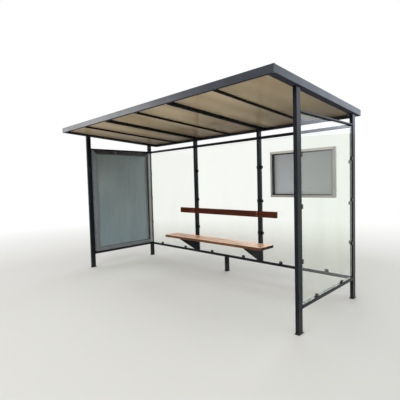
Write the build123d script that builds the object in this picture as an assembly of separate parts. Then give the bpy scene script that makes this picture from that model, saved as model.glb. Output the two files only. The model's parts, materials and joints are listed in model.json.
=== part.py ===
"""Bus shelter: a steel tube frame with a sloping sheet roof, clear side and back panes, a poster case,
a notice case and a timber bench. Millimetres, +X to the right seen from the open front, +Y to the back,
+Z up, with the origin on the ground under the middle of the roof."""

from build123d import *
import math
import os

# Plan of the frame: three equal bays along X, one bay deep along Y
bay_pitch = 1400.0
bay_count = 3
frame_depth = 1450.0

# Posts, mullions and the middle leg share one rectangular tube
post_width = 40.0
post_depth = 80.0
post_wall = 3.0
post_corner = 5.0

# Horizontal rails between the posts
rail_size = 40.0
rail_wall = 3.0
rail_corner = 5.0
lower_rail_top = 282.0
upper_rail_drop = 250.0
side_upper_rail_height = 20.0

# Plates welded under the feet
foot_plate_thickness = 8.0
foot_plate_margin = 6.0

# Roof frame, sloping down to the back
roof_pitch = 3.9
roof_front_height = 2450.0
roof_front_overhang = 415.0
roof_back_overhang = 135.0
roof_side_overhang = 20.0
edge_beam_width = 80.0
edge_beam_height = 80.0
edge_beam_wall = 4.0
edge_beam_corner = 6.0
front_beam_width = 30.0
back_beam_width = 40.0
back_beam_height = 40.0
main_rafter_width = 40.0
main_rafter_height = 40.0
light_rafter_size = 25.0
rafter_wall = 2.0
rafter_corner = 3.0

# Angle cleats that tie the back posts to the side beams
cleat_thickness = 4.0
cleat_width = 60.0
cleat_drop = 63.0
cleat_reach = 45.0

# Roof sheets and what holds them
sheet_underside = 29.0
sheet_thickness = 10.0
sheet_gap = 3.0
ledge_size = 25.0
ledge_thickness = 3.0
cover_strip_width = 60.0
cover_strip_thickness = 4.0

# Clear panes and their clamps
pane_thickness = 8.0
pane_edge_gap = 18.0
clamp_length = 46.0
clamp_reach = 32.0
clamp_depth = 24.0
clamp_corner = 12.0
clamp_clearance = 0.3
rail_clamp_spacing = 700.0
side_rail_clamp_spacing = 640.0
back_clamp_heights = (715.0, 1215.0, 1735.0)
side_clamp_heights = (715.0, 1262.0, 1773.0)

# Poster case in the left side
poster_bar = 60.0
poster_depth = 100.0
poster_proud = 60.0
poster_end_gap = 15.0
poster_cover_recess = 6.0
poster_backing_recess = 39.0

# Notice case in the right bay of the back
notice_width = 960.0
notice_shift = 17.0
notice_bottom = 1280.0
notice_top_gap = 218.0
notice_bar = 32.0
notice_depth = 60.0
notice_cover_recess = 6.0
notice_backing_recess = 50.0
notice_spacer_length = 10.0
notice_spacer_radius = 15.0
notice_spacer_inset = 110.0

# What both cases share: hollow bars, and grooves that hold the covers and backings
case_wall = 3.0
case_clearance = 0.3
case_edge_radius = 4.0
case_cover_thickness = 4.0
case_sheet_thickness = 3.0
groove_depth = 10.0
groove_clearance = 0.3

# Bench
bench_length = 2090.0
seat_top = 590.0
slat_thickness = 40.0
slat_width = 95.0
slat_gap = 10.0
slat_count = 3
slat_corner = 5.0
seat_rear_gap = 140.0
backrest_bottom = 970.0
backrest_height = 94.0
backrest_thickness = 42.0
backrest_pad_thickness = 16.0
backrest_pad_height = 70.0
bracket_width = 40.0
bracket_wall = 4.0
bracket_nose = 45.0
bracket_nose_height = 9.0

# Worked out from the values above
pitch_angle = math.radians(roof_pitch)
frame_half_length = bay_count * bay_pitch / 2
roof_run = roof_front_overhang + frame_depth + roof_back_overhang
roof_slope_length = (roof_run - edge_beam_height * math.sin(pitch_angle)) / math.cos(pitch_angle)
roof_front_y = -roof_run / 2
front_face_y = roof_front_y + roof_front_overhang
back_face_y = front_face_y + frame_depth
front_post_y = front_face_y + post_depth / 2
back_post_y = back_face_y - post_depth / 2
side_clear_start = front_face_y + post_depth
side_clear_end = back_face_y - post_depth
side_clear_middle = (side_clear_start + side_clear_end) / 2
roof_half_length = frame_half_length + post_width / 2 + roof_side_overhang
edge_beam_x = roof_half_length - edge_beam_width / 2
edge_beam_inner = roof_half_length - edge_beam_width
bay_clear = bay_pitch - post_width
grid_lines = [-frame_half_length + i * bay_pitch for i in range(bay_count + 1)]
bay_middles = [(a + b) / 2 for a, b in zip(grid_lines, grid_lines[1:])]
mullion_lines = grid_lines[1:-1]
lower_rail_bottom = lower_rail_top - rail_size
upper_rail_top = roof_front_height - upper_rail_drop
back_upper_rail_bottom = upper_rail_top - rail_size
side_upper_rail_bottom = upper_rail_top - side_upper_rail_height
pane_offset = (rail_size - clamp_depth) / 2
back_pane_y = back_post_y + pane_offset
side_pane_x = frame_half_length + pane_offset
notice_height = back_upper_rail_bottom - notice_top_gap - notice_bottom
seat_underside = seat_top - slat_thickness
seat_depth = slat_count * slat_width + (slat_count - 1) * slat_gap
mullion_front_y = back_face_y - post_depth
seat_rear_y = mullion_front_y - seat_rear_gap
seat_front_y = seat_rear_y - seat_depth

roof_plane = Plane(
    origin=(0, roof_front_y, roof_front_height),
    x_dir=(1, 0, 0),
    z_dir=(0, math.sin(pitch_angle), math.cos(pitch_angle)),
)


def tube_section(width, height, wall, corner):
    """Section of a rectangular hollow tube with rounded corners."""
    outer = RectangleRounded(width, height, corner)
    inner = RectangleRounded(width - 2 * wall, height - 2 * wall, corner - wall)
    return outer - inner


def block(x0, x1, y0, y1, z0, z1):
    """A box between two corners."""
    return Pos((x0 + x1) / 2, (y0 + y1) / 2, (z0 + z1) / 2) * Box(x1 - x0, y1 - y0, z1 - z0)


def along_x(section, x0, x1, y, z):
    """A section, width along Y and height along Z, run from x0 to x1."""
    plane = Plane(origin=(x0, y, z), x_dir=(0, 1, 0), z_dir=(1, 0, 0))
    return extrude(plane * section, amount=x1 - x0)


def along_y(section, y0, y1, x, z):
    """A section, width along X and height along Z, run from y0 to y1."""
    plane = Plane(origin=(x, y1, z), x_dir=(1, 0, 0), z_dir=(0, -1, 0))
    return extrude(plane * section, amount=y1 - y0)


def along_z(section, z0, z1, x, y):
    """A section, width along X and depth along Y, run up from z0 to z1."""
    return extrude(Pos(x, y, z0) * section, amount=z1 - z0)


def on_roof(shape):
    """Lays a shape made flat, with Y down the slope, on the sloping roof plane."""
    return roof_plane.location * shape


def below_roof(shape, offset=0.0):
    """Cuts a shape off at the roof plane, or at a plane that lies an offset above it."""
    x, z = roof_half_length, offset + roof_front_height
    return shape - on_roof(block(-x, x, 0, roof_slope_length, offset, z))


def post(x, y, bottom, offset=0.0):
    """An upright tube, its top cut to the slope of the roof."""
    section = tube_section(post_width, post_depth, post_wall, post_corner)
    return below_roof(along_z(section, bottom, roof_front_height, x, y), offset)


def foot_plate(x, y):
    """The flat plate under one foot."""
    plate = Pos(x, y, foot_plate_thickness / 2) * Box(
        post_width + 2 * foot_plate_margin, post_depth + 2 * foot_plate_margin, foot_plate_thickness
    )
    return chamfer(plate.edges().group_by(Axis.Z)[-1], foot_plate_thickness / 4)


def make_posts():
    """Four corner posts, two mullions on the lower back rail and a leg under its middle."""
    x = frame_half_length
    section = tube_section(post_width, post_depth, post_wall, post_corner)
    leg = along_z(section, foot_plate_thickness, lower_rail_bottom, 0, back_post_y)
    feet = [(sx * x, y) for sx in (-1, 1) for y in (front_post_y, back_post_y)] + [(0, back_post_y)]
    rafter_underside = sheet_underside - main_rafter_height
    nodes = {
        "post_front_left": post(-x, front_post_y, foot_plate_thickness),
        "post_front_right": post(x, front_post_y, foot_plate_thickness),
        "post_back_left": post(-x, back_post_y, foot_plate_thickness),
        "post_back_right": post(x, back_post_y, foot_plate_thickness),
        "middle_leg": leg,
        "foot_plates": Compound([foot_plate(*foot) for foot in feet]),
    }
    for side, line in zip(("left", "right"), mullion_lines):
        nodes[f"mullion_{side}"] = post(line, back_post_y, lower_rail_top, rafter_underside)
    return nodes


def make_rails():
    """Lower rails run from post to post; the upper back rail is cut at the mullions."""
    square = tube_section(rail_size, rail_size, rail_wall, rail_corner)
    flat = tube_section(rail_size, side_upper_rail_height, rail_wall, rail_corner)
    lower_z = lower_rail_top - rail_size / 2
    reach = frame_half_length - post_width / 2
    nodes = {"back_lower_rail": along_x(square, -reach, reach, back_post_y, lower_z)}
    for side, middle in zip(("left", "middle", "right"), bay_middles):
        z = upper_rail_top - rail_size / 2
        x0, x1 = middle - bay_clear / 2, middle + bay_clear / 2
        nodes[f"back_upper_rail_{side}"] = along_x(square, x0, x1, back_post_y, z)
    for side, x in (("left", -frame_half_length), ("right", frame_half_length)):
        upper_z = upper_rail_top - side_upper_rail_height / 2
        nodes[f"{side}_lower_rail"] = along_y(square, side_clear_start, side_clear_end, x, lower_z)
        nodes[f"{side}_upper_rail"] = along_y(flat, side_clear_start, side_clear_end, x, upper_z)
    return nodes


def make_roof_frame():
    """A front beam across, two side beams behind it down the slope, a low back beam and five rafters."""
    side = tube_section(edge_beam_width, edge_beam_height, edge_beam_wall, edge_beam_corner)
    side_end = RectangleRounded(edge_beam_width, edge_beam_height, edge_beam_corner)
    front = tube_section(front_beam_width, edge_beam_height, rafter_wall, rafter_corner)
    front_end = RectangleRounded(front_beam_width, edge_beam_height, rafter_corner)
    back = tube_section(back_beam_width, back_beam_height, rafter_wall, rafter_corner)
    main = tube_section(main_rafter_width, main_rafter_height, rafter_wall, rafter_corner)
    light = tube_section(light_rafter_size, light_rafter_size, rafter_wall, rafter_corner)
    high = edge_beam_height / 2
    nodes = {}
    cap_start = roof_slope_length - edge_beam_wall
    for name, x in (("left", -edge_beam_x), ("right", edge_beam_x)):
        beam = along_y(side, front_beam_width, cap_start, x, high)
        beam += along_y(side_end, cap_start, roof_slope_length, x, high)
        nodes[f"roof_{name}_beam"] = on_roof(beam)
    cap_start = roof_half_length - rafter_wall
    beam = along_x(front, -cap_start, cap_start, front_beam_width / 2, high)
    for x in (-roof_half_length, cap_start):
        beam += along_x(front_end, x, x + rafter_wall, front_beam_width / 2, high)
    nodes["roof_front_beam"] = on_roof(beam)
    y, z = roof_slope_length - back_beam_width / 2, sheet_underside - back_beam_height / 2
    nodes["roof_back_beam"] = on_roof(along_x(back, -edge_beam_inner, edge_beam_inner, y, z))
    rafter_end = roof_slope_length - back_beam_width
    for name, lines, section, height in (
        ("main_rafters", mullion_lines, main, main_rafter_height),
        ("light_rafters", bay_middles, light, light_rafter_size),
    ):
        z = sheet_underside - height / 2
        rafters = [on_roof(along_y(section, front_beam_width, rafter_end, x, z)) for x in lines]
        nodes[name] = Compound(rafters)
    return nodes


def make_cleats():
    """An angle inside each back post, one leg down the post and one under the side beam."""
    face = frame_half_length - post_width / 2
    y0, y1 = back_post_y - cleat_width / 2, back_post_y + cleat_width / 2
    low = roof_front_height - (back_post_y - roof_front_y) * math.tan(pitch_angle) - cleat_drop
    leg = below_roof(block(face - cleat_thickness, face, y0, y1, low, roof_front_height))
    under = block(face - cleat_reach, face, y0, y1, low, roof_front_height)
    cleat = leg + (below_roof(under) - below_roof(under, -cleat_thickness))
    return {"roof_cleats": Compound([cleat, mirror(cleat, about=Plane.YZ)])}


def sheet_ledges():
    """Angles on the inner faces of the side and front beams, for the sheets to lie on."""
    size, t = ledge_size, ledge_thickness
    low = sheet_underside - size
    end = roof_slope_length - back_beam_width
    left = block(-edge_beam_inner, -edge_beam_inner + t, front_beam_width, end, low, sheet_underside)
    left += block(
        -edge_beam_inner, -edge_beam_inner + size, front_beam_width, end, sheet_underside - t, sheet_underside
    )
    pieces = [left, mirror(left, about=Plane.YZ)]
    half_bay = bay_pitch / 2
    edges = [-edge_beam_inner + size + sheet_gap]
    for i in range(1, 2 * bay_count):
        half = (light_rafter_size if i % 2 else main_rafter_width) / 2
        x = -frame_half_length + i * half_bay
        edges += [x - half - sheet_gap, x + half + sheet_gap]
    edges.append(-edges[0])
    for x0, x1 in zip(edges[::2], edges[1::2]):
        angle = block(x0, x1, front_beam_width, front_beam_width + t, low, sheet_underside)
        flange = front_beam_width + size
        pieces.append(angle + block(x0, x1, front_beam_width, flange, sheet_underside - t, sheet_underside))
    return Compound([on_roof(piece) for piece in pieces])


def make_roof_cover():
    """One sheet for each bay, joined over the main rafters under flat cover strips."""
    low, high = sheet_underside, sheet_underside + sheet_thickness
    y0, y1 = front_beam_width + sheet_gap, roof_slope_length
    ends = [-edge_beam_inner] + mullion_lines + [edge_beam_inner]
    nodes = {"sheet_ledges": sheet_ledges()}
    for side, (a, b) in zip(("left", "middle", "right"), zip(ends, ends[1:])):
        nodes[f"roof_sheet_{side}"] = on_roof(block(a + sheet_gap, b - sheet_gap, y0, y1, low, high))
    half = cover_strip_width / 2
    strips = [block(x - half, x + half, y0, y1, high, high + cover_strip_thickness) for x in mullion_lines]
    nodes["roof_cover_strips"] = Compound([on_roof(strip) for strip in strips])
    return nodes


def back_pane(middle):
    """A pane in one back bay, standing clear of the posts and rails all round."""
    half = bay_clear / 2 - pane_edge_gap
    z0, z1 = lower_rail_top + pane_edge_gap, back_upper_rail_bottom - pane_edge_gap
    y0, y1 = back_pane_y - pane_thickness / 2, back_pane_y + pane_thickness / 2
    return block(middle - half, middle + half, y0, y1, z0, z1)


def side_pane():
    """The pane in the right side."""
    z0, z1 = lower_rail_top + pane_edge_gap, side_upper_rail_bottom - pane_edge_gap
    x0, x1 = side_pane_x - pane_thickness / 2, side_pane_x + pane_thickness / 2
    y0, y1 = side_clear_start + pane_edge_gap, side_clear_end - pane_edge_gap
    return block(x0, x1, y0, y1, z0, z1)


def clamp():
    """A pane clamp standing on z = 0, rounded on top, with its slot open there and running along X."""
    body = Pos(0, 0, clamp_reach / 2) * Box(clamp_length, clamp_depth, clamp_reach)
    body = fillet(body.edges().filter_by(Axis.Y).group_by(Axis.Z)[-1], clamp_corner)
    slot = pane_thickness / 2 + clamp_clearance
    half = clamp_length / 2
    return body - block(-half, half, -slot, slot, pane_edge_gap - clamp_clearance, clamp_reach)


def make_glass():
    """Three back panes and the right side pane, in clamps flush with the rails' outer faces."""
    nodes = {}
    for side, middle in zip(("left", "middle", "right"), bay_middles):
        nodes[f"back_glass_{side}"] = back_pane(middle)
    nodes["right_glass"] = side_pane()
    clamps = []
    for middle in bay_middles:
        for side in (-1, 1):
            x = middle + side * rail_clamp_spacing / 2
            clamps.append(Pos(x, back_pane_y, lower_rail_top) * clamp())
            edge = middle + side * bay_clear / 2
            for z in back_clamp_heights:
                clamps.append(Pos(edge, back_pane_y, z) * Rot(0, -90 * side, 0) * clamp())
    for side in (-1, 1):
        y = side_clear_middle + side * side_rail_clamp_spacing / 2
        clamps.append(Pos(side_pane_x, y, lower_rail_top) * Rot(0, 0, 90) * clamp())
        edge = side_clear_start if side < 0 else side_clear_end
        for z in side_clamp_heights:
            turned = Rot(90 * side, 0, 0) * Rot(0, 0, 90) * clamp()
            clamps.append(Pos(side_pane_x, edge, z) * turned)
    nodes["glass_clamps"] = Compound(clamps)
    return nodes


def case_ring(width, height, bar, z0, z1):
    """A rectangular ring, as wide all round as its bar, between two heights."""
    ring = Box(width, height, z1 - z0) - Box(width - 2 * bar, height - 2 * bar, z1 - z0)
    return Pos(0, 0, (z0 + z1) / 2) * ring


def case_frame(width, height, bar, depth, grooves):
    """A display case frame, its face at z = depth, hollow inside its bars behind the grooves."""
    inner_width, inner_height = width - 2 * bar, height - 2 * bar
    ring = case_ring(width, height, bar, 0, depth)
    front = ring.edges().group_by(Axis.Z)[-1]
    ring = fillet(front, case_edge_radius)
    hollow = bar - groove_depth - 2 * case_wall
    shrink = 2 * case_wall
    ring -= case_ring(width - shrink, height - shrink, hollow, case_wall, depth - case_wall)
    for recess, thickness in grooves:
        high = depth - recess + groove_clearance
        low = high - thickness - 2 * groove_clearance
        w, h = inner_width / 2 + groove_depth, inner_height / 2 + groove_depth
        ring -= block(-w, w, -h, h, low, high)
    return ring


def case_panel(width, height, bar, depth, recess, thickness):
    """A flat cover or backing that sits in one of the frame's grooves."""
    w = width / 2 - bar + groove_depth - groove_clearance
    h = height / 2 - bar + groove_depth - groove_clearance
    return block(-w, w, -h, h, depth - recess - thickness, depth - recess)


def make_poster_case():
    """The poster case fills the left side between the posts and stands proud of them inside."""
    width = side_clear_end - side_clear_start - 2 * case_clearance
    height = side_upper_rail_bottom - lower_rail_top - 2 * poster_end_gap
    face_x = -frame_half_length + post_width / 2 + poster_proud
    middle_z = (side_upper_rail_bottom + lower_rail_top) / 2
    place = Plane(origin=(face_x - poster_depth, side_clear_middle, middle_z), x_dir=(0, 1, 0), z_dir=(1, 0, 0))
    back_recess = poster_depth - case_sheet_thickness - case_edge_radius
    panels = {
        "poster_case_cover": (poster_cover_recess, case_cover_thickness),
        "poster_case_backing": (poster_backing_recess, case_sheet_thickness),
        "poster_case_back": (back_recess, case_sheet_thickness),
    }
    frame = case_frame(width, height, poster_bar, poster_depth, panels.values())
    nodes = {"poster_case_frame": place.location * frame}
    for name, (recess, thickness) in panels.items():
        panel = case_panel(width, height, poster_bar, poster_depth, recess, thickness)
        nodes[name] = place.location * panel
    return nodes


def make_notice_case():
    """The notice case is bolted to the right back pane, off its middle, on four round spacers."""
    width, height = notice_width, notice_height
    back_y = back_pane_y - pane_thickness / 2 - notice_spacer_length
    origin = (bay_middles[-1] + notice_shift, back_y, notice_bottom + height / 2)
    place = Plane(origin=origin, x_dir=(1, 0, 0), z_dir=(0, -1, 0))
    panels = {
        "notice_case_cover": (notice_cover_recess, case_cover_thickness),
        "notice_case_backing": (notice_backing_recess, case_sheet_thickness),
    }
    frame = case_frame(width, height, notice_bar, notice_depth, panels.values())
    nodes = {"notice_case_frame": place.location * frame}
    for name, (recess, thickness) in panels.items():
        panel = case_panel(width, height, notice_bar, notice_depth, recess, thickness)
        nodes[name] = place.location * panel
    spacers = []
    for sx in (-1, 1):
        for sy in (-1, 1):
            x, y = sx * (width / 2 - notice_bar / 2), sy * (height / 2 - notice_spacer_inset)
            spacer = Pos(x, y, -notice_spacer_length / 2) * Cylinder(notice_spacer_radius, notice_spacer_length)
            spacers.append(place.location * spacer)
    nodes["notice_case_spacers"] = Compound(spacers)
    return nodes


def bracket(x):
    """A hollow wedge under the seat, from the mullion's foot out to the front slat."""
    reach = seat_front_y + bracket_nose
    outline = [
        (mullion_front_y, lower_rail_top),
        (mullion_front_y, seat_underside),
        (reach, seat_underside),
        (reach, seat_underside - bracket_nose_height),
    ]
    plane = Plane(origin=(x - bracket_width / 2, 0, 0), x_dir=(0, 1, 0), z_dir=(1, 0, 0))
    face = make_face(plane * Polyline(*outline, close=True))
    wedge = extrude(face, amount=bracket_width)
    hollow = offset(make_face(Polyline(*outline, close=True)), amount=-bracket_wall)
    inside = Plane(origin=(x - bracket_width / 2 + bracket_wall, 0, 0), x_dir=(0, 1, 0), z_dir=(1, 0, 0))
    return wedge - extrude(inside * hollow, amount=bracket_width - 2 * bracket_wall)


def make_bench():
    """Lengthwise slats on two brackets, and one board on pads across the mullions as a backrest."""
    board = RectangleRounded(slat_width, slat_thickness, slat_corner)
    half = bench_length / 2
    z = seat_top - slat_thickness / 2
    slats = []
    for i in range(slat_count):
        y = seat_front_y + slat_width / 2 + i * (slat_width + slat_gap)
        slats.append(along_x(board, -half, half, y, z))
    nodes = {"seat_slats": Compound(slats)}
    back = RectangleRounded(backrest_thickness, backrest_height, slat_corner)
    pad_front = mullion_front_y - backrest_pad_thickness
    middle_z = backrest_bottom + backrest_height / 2
    nodes["backrest_board"] = along_x(back, -half, half, pad_front - backrest_thickness / 2, middle_z)
    x, z = post_width / 2, backrest_pad_height / 2
    pads = [
        block(line - x, line + x, pad_front, mullion_front_y, middle_z - z, middle_z + z) for line in mullion_lines
    ]
    nodes["backrest_pads"] = Compound(pads)
    nodes["bench_brackets"] = Compound([bracket(line) for line in mullion_lines])
    return nodes


def build():
    """Every named piece of the shelter."""
    nodes = {}
    for make in (
        make_posts,
        make_rails,
        make_roof_frame,
        make_cleats,
        make_roof_cover,
        make_glass,
        make_poster_case,
        make_notice_case,
        make_bench,
    ):
        nodes.update(make())
    return nodes


os.makedirs("parts", exist_ok=True)
for node, shape in build().items():
    export_step(shape, f"parts/{node}.step")
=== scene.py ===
"""Bus shelter as it looks in use: finishes for its frame, panes, roof, cases and bench, with the welds,
screws, gaskets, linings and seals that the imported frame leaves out. Metres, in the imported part's frame."""

import json
import math

import bmesh
import bpy
from mathutils import Matrix, Vector


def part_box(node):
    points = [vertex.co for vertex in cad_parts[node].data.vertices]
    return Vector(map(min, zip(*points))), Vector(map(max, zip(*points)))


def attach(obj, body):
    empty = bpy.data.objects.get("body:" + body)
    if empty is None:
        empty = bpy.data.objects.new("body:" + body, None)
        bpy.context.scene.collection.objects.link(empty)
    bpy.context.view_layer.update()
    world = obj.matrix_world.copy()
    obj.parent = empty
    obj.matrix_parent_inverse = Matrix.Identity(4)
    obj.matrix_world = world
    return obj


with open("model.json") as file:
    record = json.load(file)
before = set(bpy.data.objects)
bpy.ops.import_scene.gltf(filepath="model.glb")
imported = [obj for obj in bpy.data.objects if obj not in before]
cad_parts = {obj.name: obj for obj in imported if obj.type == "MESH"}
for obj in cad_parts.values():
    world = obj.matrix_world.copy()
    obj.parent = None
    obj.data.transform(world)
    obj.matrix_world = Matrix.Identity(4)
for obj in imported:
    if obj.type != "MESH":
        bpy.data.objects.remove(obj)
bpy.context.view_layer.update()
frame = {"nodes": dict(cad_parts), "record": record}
nodes = frame["nodes"]
slots = {row["node"]: row["material_slot"] for row in frame["record"]["subparts"]}

MM = 0.001
SAME_PLACE = 0.01 * MM
BODY = "root"


def tube(node):
    """The middle of a straight tube and half its size along X, Y and Z, to a tenth of a millimetre."""
    pairs = list(zip(*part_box(node)))
    return [round((a + b) / 2, 4) for a, b in pairs], [round((b - a) / 2, 4) for a, b in pairs]


# Lines of the frame that its fittings follow
(POST_X, BACK_POST_Y, _), (POST_HALF_X, POST_HALF_Y, _) = tube("post_back_right")
(_, FRONT_POST_Y, _), _ = tube("post_front_right")
(MULLION_X, _, _), _ = tube("mullion_right")
(_, _, LOWER_RAIL_Z), (_, _, RAIL_HALF) = tube("back_lower_rail")
(_, _, UPPER_RAIL_Z), _ = tube("back_upper_rail_left")
(_, _, SIDE_RAIL_Z), (_, _, SIDE_RAIL_HALF) = tube("right_upper_rail")
LOWER_RAIL_TOP = LOWER_RAIL_Z + RAIL_HALF
PLATE_TOP = round(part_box("foot_plates")[1].z, 4)

# The roof's lower plane, heights above it, lengths down its slope, and its side beams' inner faces
ROOF_FRONT_Y = -1.000
ROOF_FRONT_Z = 2.450
ROOF_PITCH = math.radians(3.9)
ROOF_UP = Vector((0, math.sin(ROOF_PITCH), math.cos(ROOF_PITCH)))
ROOF_BACK = Vector((0, math.cos(ROOF_PITCH), -math.sin(ROOF_PITCH)))
SHEET_UNDERSIDE = 29 * MM
SHEET_TOP = 39 * MM
STRIP_TOP = 43 * MM
FRONT_BEAM_BACK = 30 * MM
ROOF_LENGTH = 1.9992
BACK_BEAM_FRONT = ROOF_LENGTH - 2 * RAIL_HALF
BEAM_INNER_X = round(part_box("roof_right_beam")[0].x, 4)

# The display cases
poster_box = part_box("poster_case_frame")
notice_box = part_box("notice_case_frame")
POSTER_BAR = 60 * MM
NOTICE_BAR = 32 * MM


# Making a material


def linear(code):
    """An sRGB hex colour as linear RGBA."""
    values = [int(code[i : i + 2], 16) / 255 for i in (0, 2, 4)]
    return tuple(v / 12.92 if v <= 0.04045 else ((v + 0.055) / 1.055) ** 2.4 for v in values) + (1.0,)


def add(tree, kind, inputs=None, out=0, **settings):
    """Adds a node with its settings and links. Gives back an output, or the node if it has none."""
    node = tree.nodes.new(kind)
    for name, value in settings.items():
        setattr(node, name, value)
    for name, value in (inputs or {}).items():
        if isinstance(value, bpy.types.NodeSocket):
            tree.links.new(value, node.inputs[name])
        else:
            node.inputs[name].default_value = value
    return node.outputs[out] if node.outputs else node


def surface(name):
    """An empty material, its nodes, and the place on the shelter in metres that its patterns follow."""
    material = bpy.data.materials.new(name)
    material.use_nodes = True
    tree = material.node_tree
    tree.nodes.clear()
    return material, tree, add(tree, "ShaderNodeTexCoord", out="Object")


def mottled(tree, here, size, low=0.35, high=0.65, share=1.0, within=None, detail=3.0, roughness=0.5):
    """Soft patches sized in real millimetres along X, Y and Z: none below low, all of share above high."""
    cells = add(tree, "ShaderNodeMapping", {"Vector": here, "Scale": tuple(1000.0 / s for s in size)})
    inputs = {"Vector": cells, "Scale": 1.0, "Detail": detail, "Roughness": roughness}
    value = add(tree, "ShaderNodeTexNoise", inputs, out="Fac")
    limits = {"Value": value, "From Min": low, "From Max": high, "To Max": share}
    mask = add(tree, "ShaderNodeMapRange", limits)
    if within is None:
        return mask
    return add(tree, "ShaderNodeMath", {0: mask, 1: within}, operation="MULTIPLY")


def facing(tree, axis, start, full):
    """How far a face looks along one axis, from 0 at start to 1 at full."""
    normal = add(tree, "ShaderNodeNewGeometry", out="Normal")
    part = add(tree, "ShaderNodeSeparateXYZ", {0: normal}, out=axis)
    return add(tree, "ShaderNodeMapRange", {"Value": part, "From Min": start, "From Max": full})


def along(tree, here, axis, start, end, low=1.0, high=0.0):
    """A value that turns from low to high between two places on an axis, in metres."""
    place = add(tree, "ShaderNodeSeparateXYZ", {0: here}, out=axis)
    inputs = {"Value": place, "From Min": start, "From Max": end, "To Min": low, "To Max": high}
    return add(tree, "ShaderNodeMapRange", inputs)


def tinted(tree, base, *layers):
    """A base colour with other colours laid over it, each as far as its mask goes."""
    colour = linear(base)
    for mask, code in layers:
        colour = add(tree, "ShaderNodeMix", {0: mask, 6: colour, 7: linear(code)}, out=2, data_type="RGBA")
    return colour


def finished(material, tree, colour, roughness, relief=None, depth=0.0, fixed=None):
    """Closes a material with its colour, roughness, relief in metres and the values that never vary."""
    inputs = {"Base Color": colour, "Roughness": roughness}
    if relief is not None:
        inputs["Normal"] = add(tree, "ShaderNodeBump", {"Height": relief, "Distance": depth})
    inputs.update(fixed or {})
    shader = add(tree, "ShaderNodeBsdfPrincipled", inputs)
    add(tree, "ShaderNodeOutputMaterial", {"Surface": shader})
    return material


# The finishes of the shelter


def powder_coat(name, base, deep, gloss, shine):
    """Polyester powder coat, sprayed on steel and baked. It gives a dark gloss with orange peel, road dust
    on what looks up, dull undersides, and dried splashes and stone chips near the ground."""
    material, tree, here = surface(name)
    tone = mottled(tree, here, (300, 300, 300))
    upward = facing(tree, "Z", 0.6, 1.0)
    low_down = along(tree, here, "Z", 0.0, 0.28)
    at_foot = along(tree, here, "Z", 0.02, 0.16)
    dust = mottled(tree, here, (70, 70, 70), 0.25, 0.75, 0.16, upward, detail=5)
    splash = mottled(tree, here, (11, 11, 11), 0.46, 0.72, 0.26, low_down, detail=4, roughness=0.65)
    chip = mottled(tree, here, (5, 5, 5), 0.72, 0.74, 0.8, at_foot, detail=1)
    colour = tinted(tree, base, (tone, deep), (dust, "8A857B"), (splash, "7C766B"), (chip, "6B4A34"))
    uneven = mottled(tree, here, (150, 150, 150), 0.2, 0.8, 0.08, detail=0)
    rough = add(tree, "ShaderNodeMath", {0: uneven, 1: gloss}, operation="ADD")
    rough = add(tree, "ShaderNodeMath", {0: dust, 1: 1.2, 2: rough}, operation="MULTIPLY_ADD")
    rough = add(tree, "ShaderNodeMath", {0: splash, 1: 0.8, 2: rough}, operation="MULTIPLY_ADD")
    # rain doesn't wash the undersides
    unwashed = facing(tree, "Z", -0.3, -0.9)
    duller = {0: unwashed, 1: 0.6, 2: rough}
    rough = add(tree, "ShaderNodeMath", duller, operation="MULTIPLY_ADD", use_clamp=True)
    peel = mottled(tree, here, (3, 3, 3), 0.3, 0.7, detail=1)
    return finished(material, tree, colour, rough, peel, 0.004 * MM, {"Specular IOR Level": shine})


def stainless(name):
    """Stainless steel, cold headed. It gives a bright satin metal with tea stains."""
    material, tree, here = surface(name)
    stain = mottled(tree, here, (4, 4, 4), 0.4, 0.75)
    colour = tinted(tree, "A4A7AA", (stain, "75716A"))
    rough = add(tree, "ShaderNodeMapRange", {"Value": stain, "To Min": 0.26, "To Max": 0.48})
    return finished(material, tree, colour, rough, stain, 0.02 * MM, {"Metallic": 1.0})


def extruded_rubber(name, base, lighter, bloomed):
    """EPDM rubber, extruded. It gives a dull surface with a fine grain and a grey bloom."""
    material, tree, here = surface(name)
    grain = mottled(tree, here, (2, 2, 2), 0.35, 0.7)
    bloom = mottled(tree, here, (60, 60, 60), 0.45, 0.75, 0.35)
    colour = tinted(tree, base, (grain, lighter), (bloom, bloomed))
    rough = add(tree, "ShaderNodeMapRange", {"Value": grain, "To Min": 0.55, "To Max": 0.75})
    return finished(material, tree, colour, rough, grain, 0.1 * MM)


def toughened_glass(name, tint, film, film_tone, film_size, etched=0.0):
    """Toughened float glass. It gives a clear flat pane, or a softly etched one, with a thin film of dust
    that rain has drawn downwards."""
    material, tree, here = surface(name)
    low_down = along(tree, here, "Z", 0.25, 1.4, high=0.25)
    share = mottled(tree, here, film_size, 0.25, 0.85, film, low_down)
    # a lower index than float glass keeps the white room's mirror image faint
    fixed = {"Base Color": linear(tint), "Roughness": etched, "Transmission Weight": 1.0, "IOR": 1.25}
    glass = add(tree, "ShaderNodeBsdfPrincipled", fixed)
    dust = add(tree, "ShaderNodeBsdfDiffuse", {"Color": linear(film_tone)})
    dusty = add(tree, "ShaderNodeMixShader", {0: share, 1: glass, 2: dust})
    # lamps shine through the pane instead of being bent by it
    lamps = add(tree, "ShaderNodeLightPath", out="Is Shadow Ray")
    clear = add(tree, "ShaderNodeBsdfTransparent", {"Color": linear("F2F6F4")})
    through = add(tree, "ShaderNodeMixShader", {0: lamps, 1: dusty, 2: clear})
    add(tree, "ShaderNodeOutputMaterial", {"Surface": through})
    return material


def ground_glass_edge(name):
    """Float glass, ground and seamed along its edge. It gives the sea green line round each pane."""
    material, tree, here = surface(name)
    wave = mottled(tree, here, (25, 25, 25))
    colour = tinted(tree, "7FA69A", (wave, "5C8579"))
    rough = add(tree, "ShaderNodeMapRange", {"Value": wave, "To Min": 0.3, "To Max": 0.45})
    return finished(material, tree, colour, rough, wave, 0.05 * MM)


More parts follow.
